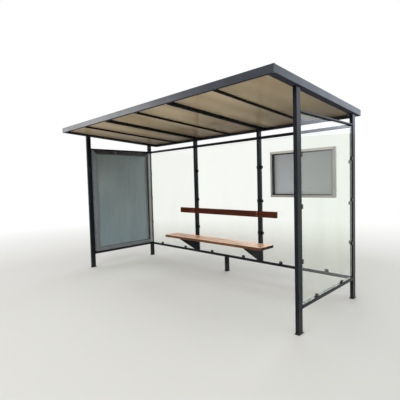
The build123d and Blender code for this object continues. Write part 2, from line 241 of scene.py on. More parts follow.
def twin_wall_sheet(name):
    """Bronze tinted polycarbonate, extruded as twin-wall sheet down the slope. It gives a warm brown with
    streaks and flutes along the slope, broad pale patches that are partly painted reflections of the sky,
    painted shade towards the low end, and only a faint mirror image in its coextruded skin."""
    material, tree, here = surface(name)
    streak = mottled(tree, here, (30, 2600, 2600), 0.30, 0.70, 0.30, detail=2)
    # broad pale patches: tone that varies, and painted reflections of clouds in the skin
    broad_tone_and_reflection = mottled(tree, here, (420, 3200, 3200), 0.30, 0.70, 0.75, detail=1)
    stain = mottled(tree, here, (420, 1300, 1300), 0.46, 0.76, 0.35, detail=1)
    # darker towards the low end: dust and damp gather in the flutes there, and painted shade deepens under the
    # roof
    low_end = along(tree, here, "Z", 2.35, 2.445)
    silt_and_shade = mottled(tree, here, (340, 1900, 1900), 0.0, 0.5, 0.74, low_end, detail=2)
    upward = facing(tree, "Z", 0.5, 0.95)
    grime = mottled(tree, here, (260, 1500, 1500), 0.25, 0.8, 0.5, upward)
    layers = [(broad_tone_and_reflection, "E2CFAF"), (streak, "CCB996"), (stain, "8A7962"), (silt_and_shade, "52493A"), (grime, "A39B87")]
    colour = tinted(tree, "A08D71", *layers)
    rough = add(tree, "ShaderNodeMapRange", {"Value": streak, "To Min": 0.16, "To Max": 0.30})
    # flutes stand 10 mm apart across the sheet
    across = add(tree, "ShaderNodeSeparateXYZ", {0: here}, out="X")
    turns = add(tree, "ShaderNodeMath", {0: across, 1: 2 * math.pi / (10 * MM)}, operation="MULTIPLY")
    flutes = add(tree, "ShaderNodeMath", {0: turns}, operation="SINE")
    fixed = {"Specular IOR Level": 0.0, "Coat Weight": 0.14, "Coat Roughness": 0.12}
    return finished(material, tree, colour, rough, flutes, 0.03 * MM, fixed)


def mitred_bars(name, box, bar, base, deep, painted_top_bar_tone, worn, metallic, gloss):
    """Drawn aluminium bars, mitred at the corners of a display case. They give fine die lines along each
    bar, a hairline joint at 45 degrees, a top bar painted darker for shade or lighter for a highlight, and
    rubbed spots."""
    material, tree, here = surface(name)
    low, high = box
    middle, half = (low + high) / 2, (high - low) / 2
    wide = "X" if half.x > half.y else "Y"
    local = add(tree, "ShaderNodeVectorMath", {0: here, 1: tuple(middle)}, operation="SUBTRACT")
    flat = add(tree, "ShaderNodeVectorMath", {0: local}, operation="ABSOLUTE")
    across = add(tree, "ShaderNodeSeparateXYZ", {0: flat}, out=wide)
    above = add(tree, "ShaderNodeSeparateXYZ", {0: flat}, out="Z")
    side = add(tree, "ShaderNodeMath", {0: max(half.x, half.y), 1: across}, operation="SUBTRACT")
    rise = add(tree, "ShaderNodeMath", {0: half.z, 1: above}, operation="SUBTRACT")
    stile = add(tree, "ShaderNodeMath", {0: side, 1: rise}, operation="LESS_THAN")
    crossbar = add(tree, "ShaderNodeMath", {0: 1.0, 1: stile}, operation="SUBTRACT")
    furthest = add(tree, "ShaderNodeMath", {0: side, 1: rise}, operation="MAXIMUM")
    corner = add(tree, "ShaderNodeMath", {0: furthest, 1: bar + 2 * MM}, operation="LESS_THAN")
    apart = add(tree, "ShaderNodeMath", {0: side, 1: rise}, operation="SUBTRACT")
    apart = add(tree, "ShaderNodeMath", {0: apart}, operation="ABSOLUTE")
    line = add(tree, "ShaderNodeMapRange", {"Value": apart, "From Min": 0.9 * MM, "From Max": 0.3 * MM})
    joint = add(tree, "ShaderNodeMath", {0: line, 1: corner}, operation="MULTIPLY")
    # die lines under 0.1 mm are drawn 1 mm apart
    upright = mottled(tree, here, (1, 1, 170), 0.3, 0.7, 1.0, stile, detail=2)
    level = mottled(tree, here, (170, 170, 1), 0.3, 0.7, 1.0, crossbar, detail=2)
    lines = add(tree, "ShaderNodeMath", {0: upright, 1: level}, operation="ADD")
    cloud = mottled(tree, here, (200, 200, 200), 0.35, 0.65, 0.6, detail=4)
    rub = mottled(tree, here, (60, 60, 190), 0.62, 0.74, 0.6, detail=5, roughness=0.65)
    soft_lines = add(tree, "ShaderNodeMath", {0: lines, 1: 0.4}, operation="MULTIPLY")
    # the top bar's own tone is painted light: shade on the poster case, a highlight on the notice case
    over = add(tree, "ShaderNodeSeparateXYZ", {0: local}, out="Z")
    top = add(tree, "ShaderNodeMath", {0: over, 1: 0.0}, operation="GREATER_THAN")
    painted_top_bar = add(tree, "ShaderNodeMath", {0: top, 1: crossbar}, operation="MULTIPLY")
    layers = [(cloud, deep), (soft_lines, deep), (painted_top_bar, painted_top_bar_tone), (rub, worn), (joint, "222326")]
    colour = tinted(tree, base, *layers)
    rough = add(tree, "ShaderNodeMath", {0: cloud, 1: 0.14, 2: gloss}, operation="MULTIPLY_ADD")
    relief = add(tree, "ShaderNodeMath", {0: joint, 1: -3.0, 2: lines}, operation="MULTIPLY_ADD")
    return finished(material, tree, colour, rough, relief, 0.03 * MM, {"Metallic": metallic})


def anodised_strip(name, base, deep):
    """Extruded aluminium, satin anodised. It gives a pale silver strip with die lines up its length."""
    material, tree, here = surface(name)
    lines = mottled(tree, here, (1.2, 1.2, 240), 0.3, 0.7, detail=2)
    cloud = mottled(tree, here, (90, 90, 260), 0.4, 0.7, 0.7, detail=4)
    dull = mottled(tree, here, (30, 30, 110), 0.6, 0.75, 0.5, detail=4)
    colour = tinted(tree, base, (cloud, deep), (dull, "76746E"))
    rough = add(tree, "ShaderNodeMapRange", {"Value": lines, "To Min": 0.32, "To Max": 0.46})
    return finished(material, tree, colour, rough, lines, 0.04 * MM, {"Metallic": 0.7})


def coated_panel(name, light, dark, haze_tone, streak_share, painted_gradient):
    """Coil coated sheet at the back of a case. It gives a flat field with rain streaks, haze at its foot
    and a tone that changes from one end to the other, which on the poster and notice panels is painted light
    and shade."""
    material, tree, here = surface(name)
    cloud = mottled(tree, here, (620, 620, 900), 0.36, 0.64, detail=5, roughness=0.55)
    streak = mottled(tree, here, (55, 55, 1900), 0.38, 0.68, streak_share, detail=4, roughness=0.6)
    foot = along(tree, here, "Z", 0.35, 1.1, low=0.35)
    haze = mottled(tree, here, (300, 300, 240), 0.3, 0.75, 1.0, foot, detail=4)
    # the gradient paints a reflection of the sky on the poster panel, and shade towards the notice panel's
    # right end
    axis, start, end, share, gradient_tone = painted_gradient
    fade = along(tree, here, axis, start, end, 0.0, share)
    colour = tinted(tree, dark, (cloud, light), (streak, light), (haze, haze_tone), (fade, gradient_tone))
    rough = add(tree, "ShaderNodeMath", {0: cloud, 1: 0.12, 2: 0.4}, operation="MULTIPLY_ADD")
    ripple = mottled(tree, here, (18, 18, 18), 0.2, 0.8, detail=2)
    return finished(material, tree, colour, rough, ripple, 0.05 * MM)


def varnished_timber(name, dark, middle, light, gloss, worn, varnish):
    """Hardwood boards, planed along X and varnished. They give long grain with open pores, rings on the
    sawn ends that rain has stained dark and that are painted darker for shade, a gloss over it all and a pale
    upper face, rubbed by use and painted lighter for the sky's sheen on it."""
    material, tree, here = surface(name)
    figure = mottled(tree, here, (1100, 110, 110), 0.32, 0.68, detail=5, roughness=0.6)
    grain = mottled(tree, here, (460, 17, 17), 0.34, 0.66, detail=6, roughness=0.62)
    pale = mottled(tree, here, (700, 34, 34), 0.50, 0.70, 0.8, detail=5, roughness=0.6)
    # pores of 0.2 mm are drawn 2 mm wide
    pores = mottled(tree, here, (38, 2, 2), 0.60, 0.72, 0.55, detail=2)
    cells = add(tree, "ShaderNodeMapping", {"Vector": here, "Scale": (0.0, 20.0, 20.0)})
    ring_inputs = {"Vector": cells, "Scale": 1.6, "Distortion": 5.0, "Detail": 3.0}
    rings = add(tree, "ShaderNodeTexWave", ring_inputs, out="Fac", wave_type="RINGS", rings_direction="X")
    # the sawn ends are stained dark by rain and painted darker still for the shade on them
    right_end = facing(tree, "X", 0.7, 0.95)
    left_end = facing(tree, "X", -0.7, -0.95)
    end = add(tree, "ShaderNodeMath", {0: right_end, 1: left_end}, operation="MAXIMUM")
    end_rings = add(tree, "ShaderNodeMath", {0: rings, 1: end}, operation="MULTIPLY")
    upward = facing(tree, "Z", 0.5, 0.95)
    # the upper face is rubbed pale by use and painted lighter still for the sheen of the sky on it
    rub = mottled(tree, here, (400, 75, 75), 0.22, 0.55, worn, upward, detail=4)
    wood = [(figure, middle), (grain, middle), (pale, light), (pores, dark)]
    wear_stain_and_painted_light = [(rub, "F2B486"), (end, "1E0E08"), (end_rings, "321A10")]
    colour = tinted(tree, dark, *wood, *wear_stain_and_painted_light)
    rough = add(tree, "ShaderNodeMath", {0: grain, 1: 0.12, 2: gloss}, operation="MULTIPLY_ADD")
    rough = add(tree, "ShaderNodeMath", {0: rub, 1: 0.15, 2: rough}, operation="MULTIPLY_ADD")
    relief = add(tree, "ShaderNodeMath", {0: pores, 1: -2.0, 2: grain}, operation="MULTIPLY_ADD")
    fixed = {"Specular IOR Level": 0.1, "Coat Weight": varnish, "Coat Roughness": 0.14}
    return finished(material, tree, colour, rough, relief, 0.03 * MM, fixed)


frame_coat = powder_coat("anthracite_powder_coat", "0E1218", "131820", 0.22, 0.17)
roof_coat = powder_coat("glossy_anthracite_powder_coat", "161C29", "1C2432", 0.26, 0.5)
clamp_coat = powder_coat("black_powder_coat", "0C0D0F", "111214", 0.36, 0.2)
pane_glass = toughened_glass("toughened_pane_glass", "F7FAF5", 0.05, "B9BDB9", (260, 260, 900))
notice_cover = toughened_glass("toughened_cover_glass", "F8FBFA", 0.05, "B9BDB9", (180, 180, 700))
poster_cover = toughened_glass("etched_cover_glass", "F6FAF9", 0.5, "A9BBC2", (150, 150, 1800), etched=0.22)
edge_glass = ground_glass_edge("ground_glass_edge")
roof_skin = twin_wall_sheet("bronze_twin_wall_polycarbonate")
# 2B2826 is painted shade on the top bar
poster_bars = mitred_bars(
    "grey_coated_case_bars", poster_box, POSTER_BAR, "7A7F82", "696E72", "2B2826", "9C9588", 0.0, 0.24
)
# D2CEC4 is a painted highlight on the top bar
notice_bars = mitred_bars(
    "satin_anodised_case_bars", notice_box, NOTICE_BAR, "A8A5A0", "918E89", "D2CEC4", "7E7C77", 0.7, 0.34
)
silver_strip = anodised_strip("satin_anodised_strip", "A39F96", "7F7C76")
# poster panel painted lighter towards the back as a reflection of the sky, notice panel painted darker towards
# its right end as shade; the rear panel is lighter towards the back
poster_painted_reflection = ("Y", -0.3, 0.7, 0.7, "BEC7C9")
rear_gradient = ("Y", -0.3, 0.7, 0.3, "6A6B6E")
notice_painted_shade = ("X", 1.3, 1.8, 0.6, "A9AEB0")
poster_panel = coated_panel("pale_green_coated_panel", "A6ABA9", "888F90", "93AEB6", 0.6, poster_painted_reflection)
rear_panel = coated_panel("grey_coated_rear_panel", "5E5F63", "505156", "6E6D6B", 0.5, rear_gradient)
notice_panel = coated_panel("pale_grey_coated_panel", "E8E6EC", "D5D5DB", "C2C8CE", 0.3, notice_painted_shade)
seat_wood = varnished_timber("varnished_oak", "472813", "6B4022", "9A6A40", 0.22, 0.95, 0.3)
back_wood = varnished_timber("dark_varnished_mahogany", "361306", "562306", "6A300A", 0.26, 0.0, 0.0)
bright_steel = stainless("cold_headed_stainless_steel")
rubber = extruded_rubber("extruded_black_rubber", "101114", "1B1C1F", "303236")
grey_rubber = extruded_rubber("extruded_grey_rubber", "5A5D5F", "666A6C", "75797A")

finishes = {
    "frame_paint": frame_coat,
    "pane_glass": pane_glass,
    "roof_sheet": roof_skin,
    "poster_frame": poster_bars,
    "notice_frame": notice_bars,
    "case_cover": notice_cover,
    "case_panel": notice_panel,
    "seat_timber": seat_wood,
    "backrest_timber": back_wood,
}
own_finishes = {
    "glass_clamps": clamp_coat,
    "poster_case_cover": poster_cover,
    "poster_case_backing": poster_panel,
    "poster_case_back": rear_panel,
    "notice_case_spacers": bright_steel,
}
for side in ("front", "left", "right", "back"):
    own_finishes[f"roof_{side}_beam"] = roof_coat
for name, node in nodes.items():
    node.data.materials.clear()
    node.data.materials.append(own_finishes.get(name, finishes[slots[name]]))


# Making pieces


def on_shelter(obj):
    """Joins a made piece to the shelter's one body."""
    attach(obj, BODY)
    return obj


def piece(name, build, material):
    """A piece from a mesh that a function fills in, with its faces turned outwards."""
    work = bmesh.new()
    build(work)
    bmesh.ops.remove_doubles(work, verts=work.verts, dist=SAME_PLACE)
    bmesh.ops.recalc_face_normals(work, faces=work.faces)
    mesh = bpy.data.meshes.new(name)
    work.to_mesh(mesh)
    work.free()
    mesh.materials.append(material)
    obj = bpy.data.objects.new(name, mesh)
    bpy.context.scene.collection.objects.link(obj)
    return on_shelter(obj)


def solids_of(node):
    """The boxes, low and high, of the separate solids in a node, in order of place."""
    work = bmesh.new()
    work.from_mesh(nodes[node].data)
    bmesh.ops.remove_doubles(work, verts=work.verts, dist=SAME_PLACE)
    left = set(work.verts)
    found = []
    while left:
        group, queue = [], [left.pop()]
        while queue:
            vert = queue.pop()
            group.append(vert.co.copy())
            for edge in vert.link_edges:
                other = edge.other_vert(vert)
                if other in left:
                    left.discard(other)
                    queue.append(other)
        low = Vector([min(p[i] for p in group) for i in range(3)])
        high = Vector([max(p[i] for p in group) for i in range(3)])
        found.append((low, high))
    work.free()
    return sorted(found, key=lambda b: (round(b[0].x, 3), round(b[0].y, 3), round(b[0].z, 3)))


def on_roof(x, down, above):
    """A point at x, some way down the slope from the front edge and above the roof's lower plane."""
    return Vector((x, ROOF_FRONT_Y, ROOF_FRONT_Z)) + down * ROOF_BACK + above * ROOF_UP


def roof_height(y):
    """The height of the roof's lower plane over a place in depth."""
    return ROOF_FRONT_Z - (y - ROOF_FRONT_Y) * math.tan(ROOF_PITCH)


def frame_ring(work, corners, inward, outward, section):
    """A closed ring along four corners: a section point is (distance in from the edge, height off it)."""
    rows = []
    for corner, diagonal in zip(corners, inward):
        rows.append([work.verts.new(corner + diagonal * a + outward * b) for a, b in section])
    for i, row in enumerate(rows):
        after = rows[(i + 1) % len(rows)]
        for j in range(len(section)):
            k = (j + 1) % len(section)
            work.faces.new((row[j], row[k], after[k], after[j]))


def upright_ring(work, box, axis, at, outward, inset, section):
    """A ring in a case or pane, upright, at a place on one axis, some way in from the box's edges."""
    low, high = box
    wide = 1 - axis
    corners, inward = [], []
    for sw, sz in ((-1, -1), (1, -1), (1, 1), (-1, 1)):
        corner = Vector((0, 0, 0))
        corner[axis] = at
        corner[wide] = (low[wide] + inset) if sw < 0 else (high[wide] - inset)
        corner.z = (low.z + inset) if sz < 0 else (high.z - inset)
        diagonal = Vector((0, 0, -sz))
        diagonal[wide] = -sw
        corners.append(corner)
        inward.append(diagonal)
    direction = Vector((0, 0, 0))
    direction[axis] = outward
    frame_ring(work, corners, inward, direction, section)


def run_strip(work, start, end, side, up, section):
    """A straight strip from start to end: each section point is (distance to the side, distance up)."""
    rows = []
    for point in (start, end):
        rows.append([work.verts.new(point + side * a + up * b) for a, b in section])
    for j in range(len(section)):
        k = (j + 1) % len(section)
        work.faces.new((rows[0][j], rows[0][k], rows[1][k], rows[1][j]))
    work.faces.new(rows[0][::-1])
    work.faces.new(rows[1])


def rounded(width, height, radius):
    """A section that stands on a flat base, with its two upper corners rounded."""
    steps = 4
    points = [(0.0, 0.0)]
    for centre_x, start in ((radius, 180.0), (width - radius, 90.0)):
        for i in range(steps + 1):
            angle = math.radians(start - 90.0 * i / steps)
            points.append((centre_x + radius * math.cos(angle), height - radius + radius * math.sin(angle)))
    points.append((width, 0.0))
    return points


# Screw heads and weld beads, grown along points and lines


def tree_with(name, **named):
    """An empty tree for growing pieces: its group, its input sockets, and their identifiers by name."""
    tree = bpy.data.node_groups.new(name, "GeometryNodeTree")
    tree.interface.new_socket(name="Geometry", in_out="OUTPUT", socket_type="NodeSocketGeometry")
    tree.interface.new_socket(name="Geometry", in_out="INPUT", socket_type="NodeSocketGeometry")
    ids = {}
    for key, kind in named.items():
        label = key.replace("_", " ").title()
        socket = tree.interface.new_socket(name=label, in_out="INPUT", socket_type="NodeSocket" + kind)
        ids[label] = socket.identifier
    group = tree.nodes.new("NodeGroupInput")
    return tree, group.outputs, ids


def screw_heads():
    """Screw or bolt heads on washers, one at each point, standing along the point's facing."""
    tree, given, ids = tree_with(
        "screw_heads",
        head_radius="Float",
        head_height="Float",
        head_sides="Int",
        washer_radius="Float",
        metal="Material",
        recess="Material",
    )
    radius, height, sides = given["Head Radius"], given["Head Height"], given["Head Sides"]
    washer_height = 1.2 * MM
    parts = []
    washer = {"Vertices": 18, "Radius": given["Washer Radius"], "Depth": washer_height}
    parts.append((add(tree, "GeometryNodeMeshCylinder", washer), washer_height / 2))
    rim_depth = add(tree, "ShaderNodeMath", {0: height, 1: 0.6}, operation="MULTIPLY")
    rim_middle = add(tree, "ShaderNodeMath", {0: height, 1: 0.3}, operation="MULTIPLY")
    rim = {"Vertices": sides, "Radius": radius, "Depth": rim_depth}
    parts.append((add(tree, "GeometryNodeMeshCylinder", rim), rim_middle))
    crown_depth = add(tree, "ShaderNodeMath", {0: height, 1: 0.4}, operation="MULTIPLY")
    crown_top = add(tree, "ShaderNodeMath", {0: radius, 1: 0.68}, operation="MULTIPLY")
    crown = {"Vertices": sides, "Radius Bottom": radius, "Radius Top": crown_top, "Depth": crown_depth}
    parts.append((add(tree, "GeometryNodeMeshCone", crown), rim_depth))
    recess_radius = add(tree, "ShaderNodeMath", {0: radius, 1: 0.36}, operation="MULTIPLY")
    hexagon = {"Vertices": 6, "Radius": recess_radius, "Depth": 0.2 * MM}
    hollow = add(tree, "GeometryNodeMeshCylinder", hexagon)
    mark = {"Geometry": hollow, "Name": "is_recess", "Value": True}
    marked = add(tree, "GeometryNodeStoreNamedAttribute", mark, data_type="BOOLEAN", domain="FACE")
    parts.append((marked, height))
    joined = tree.nodes.new("GeometryNodeJoinGeometry")
    for mesh, lift in parts:
        shift = add(tree, "ShaderNodeCombineXYZ", {"Z": lift})
        lifted = add(tree, "GeometryNodeTransform", {"Geometry": mesh, "Translation": shift})
        tree.links.new(lifted, joined.inputs[0])
    direction = add(tree, "GeometryNodeInputNamedAttribute", {"Name": "facing"}, data_type="FLOAT_VECTOR")
    turned = add(tree, "FunctionNodeAlignRotationToVector", {"Vector": direction}, axis="Z")
    placing = {"Points": given["Geometry"], "Instance": joined.outputs[0], "Rotation": turned}
    placed = add(tree, "GeometryNodeInstanceOnPoints", placing)
    real = add(tree, "GeometryNodeRealizeInstances", {"Geometry": placed})
    metal = add(tree, "GeometryNodeSetMaterial", {"Geometry": real, "Material": given["Metal"]})
    is_recess = add(tree, "GeometryNodeInputNamedAttribute", {"Name": "is_recess"}, data_type="BOOLEAN")
    dark = {"Geometry": metal, "Selection": is_recess, "Material": given["Recess"]}
    add(tree, "NodeGroupOutput", {0: add(tree, "GeometryNodeSetMaterial", dark)})
    return tree, ids


def weld_beads():
    """A weld bead along each chain of edges: a round bead whose ripples lie one behind another."""
    tree, given, ids = tree_with("weld_beads", bead_radius="Float", ripple_length="Float", paint="Material")
    path = add(tree, "GeometryNodeMeshToCurve", {"Mesh": given["Geometry"]})
    even = {"Curve": path, "Length": given["Ripple Length"]}
    path = add(tree, "GeometryNodeResampleCurve", even, mode="LENGTH")
    circle = {"Resolution": 6, "Radius": given["Bead Radius"]}
    round_bead = add(tree, "GeometryNodeCurvePrimitiveCircle", circle)
    bead = add(tree, "GeometryNodeCurveToMesh", {"Curve": path, "Profile Curve": round_bead})
    place = add(tree, "GeometryNodeInputPosition")
    wander = add(tree, "ShaderNodeTexNoise", {"Vector": place, "Scale": 190.0, "Detail": 1.0}, out="Color")
    centred = add(tree, "ShaderNodeVectorMath", {0: wander, 1: (0.5, 0.5, 0.5)}, operation="SUBTRACT")
    ripple = add(tree, "ShaderNodeVectorMath", {0: centred, "Scale": 2 * MM}, operation="SCALE")
    rippled = add(tree, "GeometryNodeSetPosition", {"Geometry": bead, "Offset": ripple})
    real = add(tree, "GeometryNodeRealizeInstances", {"Geometry": rippled})
    painted = {"Geometry": real, "Material": given["Paint"]}
    add(tree, "NodeGroupOutput", {0: add(tree, "GeometryNodeSetMaterial", painted)})
    return tree, ids


def grown(name, mesh, group, values):
    """Grows a tree on a mesh of points or edges and keeps the result as a plain mesh."""
    tree, ids = group
    source = bpy.data.objects.new(name + "_lines", mesh)
    bpy.context.scene.collection.objects.link(source)
    modifier = source.modifiers.new("Grow", "NODES")
    modifier.node_group = tree
    for key, value in values.items():
        modifier[ids[key]] = value
    graph = bpy.context.evaluated_depsgraph_get()
    result = bpy.data.meshes.new_from_object(source.evaluated_get(graph))
    bpy.data.objects.remove(source)
    result.name = name
    obj = bpy.data.objects.new(name, result)
    bpy.context.scene.collection.objects.link(obj)
    return on_shelter(obj)


screw_tree = screw_heads()
weld_tree = weld_beads()


def screws(name, spots, radius, height, washer, sides=18):
    """Screw heads at a list of (place, direction), with sizes in millimetres."""
    mesh = bpy.data.meshes.new(name + "_points")
    mesh.from_pydata([spot for spot, _ in spots], [], [])
    directions = mesh.attributes.new("facing", "FLOAT_VECTOR", "POINT")
    for i, (_, direction) in enumerate(spots):
        directions.data[i].vector = direction
    values = {
        "Head Radius": radius * MM,
        "Head Height": height * MM,
        "Head Sides": sides,
        "Washer Radius": washer * MM,
        "Metal": bright_steel,
        "Recess": rubber,
    }
    return grown(name, mesh, screw_tree, values)


def welds(name, seams, radius):
    """Weld beads of a radius in millimetres along seams, each a list of points that closes on itself."""
    points, edges = [], []
    for seam in seams:
        start = len(points)
        points += seam
        count = len(seam)
        edges += [(start + i, start + (i + 1) % count) for i in range(count)]
    mesh = bpy.data.meshes.new(name + "_seams")
    mesh.from_pydata(points, edges, [])
    values = {"Bead Radius": radius * MM, "Ripple Length": 4 * MM, "Paint": frame_coat}
    return grown(name, mesh, weld_tree, values)


# Weld seams


def tube_seam(middle, axis, half_a, half_b, corner=5 * MM, steps=3):
    """The outline of a rounded tube end, square to an axis, round its middle."""
    a, b = [i for i in range(3) if i != axis]
    seam = []
    for sa, sb, start in ((1, 1, 0), (-1, 1, 90), (-1, -1, 180), (1, -1, 270)):
        for i in range(steps + 1):
            angle = math.radians(start + 90.0 * i / steps)
            point = Vector(middle)
            point[a] += sa * (half_a - corner) + corner * math.cos(angle)
            point[b] += sb * (half_b - corner) + corner * math.sin(angle)
            seam.append(point)
    return seam


def under_roof(seam):
    """A level seam moved up to the underside of the sloping roof."""
    return [Vector((p.x, p.y, roof_height(p.y))) for p in seam]


def frame_seams():
    """Every tube end of the frame that is welded round."""
    post_face = POST_X - POST_HALF_X
    seams = []
    for sx in (-1, 1):
        seams.append(tube_seam((sx * post_face, BACK_POST_Y, LOWER_RAIL_Z), 0, RAIL_HALF, RAIL_HALF))
        for inner in (post_face, MULLION_X + POST_HALF_X, MULLION_X - POST_HALF_X):
            seams.append(tube_seam((sx * inner, BACK_POST_Y, UPPER_RAIL_Z), 0, RAIL_HALF, RAIL_HALF))
        for y in (FRONT_POST_Y + POST_HALF_Y, BACK_POST_Y - POST_HALF_Y):
            seams.append(tube_seam((sx * POST_X, y, LOWER_RAIL_Z), 1, RAIL_HALF, RAIL_HALF))
            seams.append(tube_seam((sx * POST_X, y, SIDE_RAIL_Z), 1, RAIL_HALF, SIDE_RAIL_HALF))
        for y in (FRONT_POST_Y, BACK_POST_Y):
            seams.append(tube_seam((sx * POST_X, y, PLATE_TOP), 2, POST_HALF_X, POST_HALF_Y))
            top = tube_seam((sx * POST_X, y, 0), 2, POST_HALF_X, POST_HALF_Y)
            seams.append(under_roof(top))
        seams.append(tube_seam((sx * MULLION_X, BACK_POST_Y, LOWER_RAIL_TOP), 2, POST_HALF_X, RAIL_HALF))
    seams.append(tube_seam((0, BACK_POST_Y, PLATE_TOP), 2, POST_HALF_X, POST_HALF_Y))
    seams.append(tube_seam((0, BACK_POST_Y, LOWER_RAIL_Z - RAIL_HALF), 2, POST_HALF_X, RAIL_HALF))
    return seams


def roof_seams():
    """The ends of the rafters at the front and back beams, and of the back beam at the side beams."""
    corner = 3 * MM
    seams = []
    for node in ("main_rafters", "light_rafters"):
        for low, high in solids_of(node):
            x, half = (low.x + high.x) / 2, (high.x - low.x) / 2
            for down in (FRONT_BEAM_BACK, BACK_BEAM_FRONT):
                seam = []
                for point in tube_seam((x, 0, 0), 1, half, half, corner):
                    seam.append(on_roof(point.x, down, SHEET_UNDERSIDE - half + point.z))
                seams.append(seam)
    middle = (BACK_BEAM_FRONT + ROOF_LENGTH) / 2
    for sx in (-1, 1):
        seam = []
        for point in tube_seam((0, 0, 0), 0, RAIL_HALF, RAIL_HALF, corner):
            seam.append(on_roof(sx * BEAM_INNER_X, middle + point.y, SHEET_UNDERSIDE - RAIL_HALF + point.z))
        seams.append(seam)
    return seams


def bracket_seams():
    """Round the upright end of each bench bracket, where it meets the mullion."""
    seams = []
    for low, high in solids_of("bench_brackets"):
        middle = ((low.x + high.x) / 2, high.y, (low.z + high.z) / 2)
        half = (high - low) / 2
        seams.append(tube_seam(middle, 1, half.x, half.z, corner=1 * MM, steps=1))
    return seams


welds("frame_weld_beads", frame_seams(), radius=2.6)
welds("roof_weld_beads", roof_seams(), radius=2.2)
welds("bracket_weld_beads", bracket_seams(), radius=2.4)


# Screws and bolts


def clamp_screw_spots():
    """One screw in each flat face of every pane clamp."""
    depth_across_pane = 24 * MM
    spots = []
    for low, high in solids_of("glass_clamps"):
        size, middle = high - low, (low + high) / 2
        across = 1 if abs(size.y - depth_across_pane) < abs(size.x - depth_across_pane) else 0
        for end, sign in ((low, -1), (high, 1)):
            spot = middle.copy()
            spot[across] = end[across]
            direction = Vector((0, 0, 0))
            direction[across] = sign
            spots.append((spot, direction))
    return spots


def cover_strip_spots():
    """Two rows of screws down each roof cover strip."""
    off_middle, first, spacing, count = 20 * MM, 80 * MM, 305 * MM, 7
    spots = []
    for x in (-MULLION_X, MULLION_X):
        for side in (-off_middle, off_middle):
            for i in range(count):
                spots.append((on_roof(x + side, first + i * spacing, STRIP_TOP), ROOF_UP))
    return spots


def roof_edge_spots():
    """Screws on wide washers through the roof sheets into the ledges and the rafters between."""
    from_beam, first, spacing, count = 18 * MM, 100 * MM, 450 * MM, 5
    edge = BEAM_INNER_X - from_beam
    spots = []
    for x in (-edge, -2 * MULLION_X, 0.0, 2 * MULLION_X, edge):
        for i in range(count):
            spots.append((on_roof(x, first + i * spacing, SHEET_TOP), ROOF_UP))
    return spots


def cleat_bolt_spots():
    """Two bolts through the hanging leg of each cleat, and one up through its level leg."""
    steel, off_middle, hang, reach = 4 * MM, 17 * MM, 43 * MM, 22 * MM
    spots = []
    for sx in (-1, 1):
        face = sx * (POST_X - POST_HALF_X - steel)
        for y in (BACK_POST_Y - off_middle, BACK_POST_Y + off_middle):
            spots.append((Vector((face, y, roof_height(y) - hang)), Vector((-sx, 0, 0))))
        underside = roof_height(BACK_POST_Y) - steel - 0.2 * MM
        spots.append((Vector((face - sx * reach, BACK_POST_Y, underside)), -ROOF_UP))
    return spots


def bench_bolt_spots():
    """Dome bolts through each slat over the brackets, and two through the backrest at each mullion."""
    off_middle = 22 * MM
    spots = []
    for low, high in solids_of("seat_slats"):
        for x in (-MULLION_X, MULLION_X):
            spots.append((Vector((x, (low.y + high.y) / 2, high.z)), Vector((0, 0, 1))))
    low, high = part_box("backrest_board")
    middle = (low.z + high.z) / 2
    for x in (-MULLION_X, MULLION_X):
        for z in (middle - off_middle, middle + off_middle):
            spots.append((Vector((x, low.y, z)), Vector((0, -1, 0))))
    return spots


def spacer_bolt_spots():
    """The bolt heads behind the pane that carry the notice case."""
    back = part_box("back_glass_right")[1].y
    spots = []
    for low, high in solids_of("notice_case_spacers"):
        middle = (low + high) / 2
        spots.append((Vector((middle.x, back, middle.z)), Vector((0, 1, 0))))
    return spots


screws("clamp_screws", clamp_screw_spots(), radius=5.5, height=3.0, washer=7)
screws("cover_strip_screws", cover_strip_spots(), radius=4.5, height=3.5, washer=7)
screws("roof_sheet_screws", roof_edge_spots(), radius=5, height=4.5, washer=11, sides=6)
screws("cleat_bolts", cleat_bolt_spots(), radius=8, height=6.0, washer=11, sides=6)
screws("bench_bolts", bench_bolt_spots(), radius=8, height=3.5, washer=9)
screws("notice_case_bolts", spacer_bolt_spots(), radius=8, height=4.5, washer=14)


# Gaskets, linings and seals of the cases; the dark linings and seals also paint the shade in and round them


def lining_section(depth, lip):
    """A thin folded sheet that stands a hair off the backing, and turns in along it as a lip."""
    thin, hair = 1.2 * MM, 0.2 * MM
    rise = depth - 2 * hair
    return [(0, hair), (0, rise), (thin, rise), (thin, hair + thin), (lip, hair + thin), (lip, hair)]


def poster_gasket(work):
    """Rubber between the poster case's bars and its cover."""
    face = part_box("poster_case_cover")[1].x
    section = rounded(9 * MM, 2.5 * MM, 1.2 * MM)
    upright_ring(work, poster_box, 0, face, 1, POSTER_BAR, section)


def notice_gasket(work):
    """Rubber between the notice case's bars and its cover."""
    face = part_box("notice_case_cover")[0].y
    section = rounded(7 * MM, 2.5 * MM, 1.2 * MM)
    upright_ring(work, notice_box, 1, face, -1, NOTICE_BAR, section)


def poster_shade_lining(work):
    """Dark sheet round the inside of the poster case, behind the cover, with a lip on the backing; it also
    paints the shade inside the case.
    """
    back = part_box("poster_case_backing")[1].x
    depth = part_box("poster_case_cover")[0].x - back
    upright_ring(work, poster_box, 0, back, 1, POSTER_BAR, lining_section(depth, 12 * MM))


def notice_shade_lining(work):
    """Dark sheet round the inside of the notice case, behind the cover, with a lip on the backing; it also
    paints the shade inside the case.
    """
    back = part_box("notice_case_backing")[0].y
    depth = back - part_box("notice_case_cover")[1].y
    upright_ring(work, notice_box, 1, back, -1, NOTICE_BAR, lining_section(depth, 14 * MM))


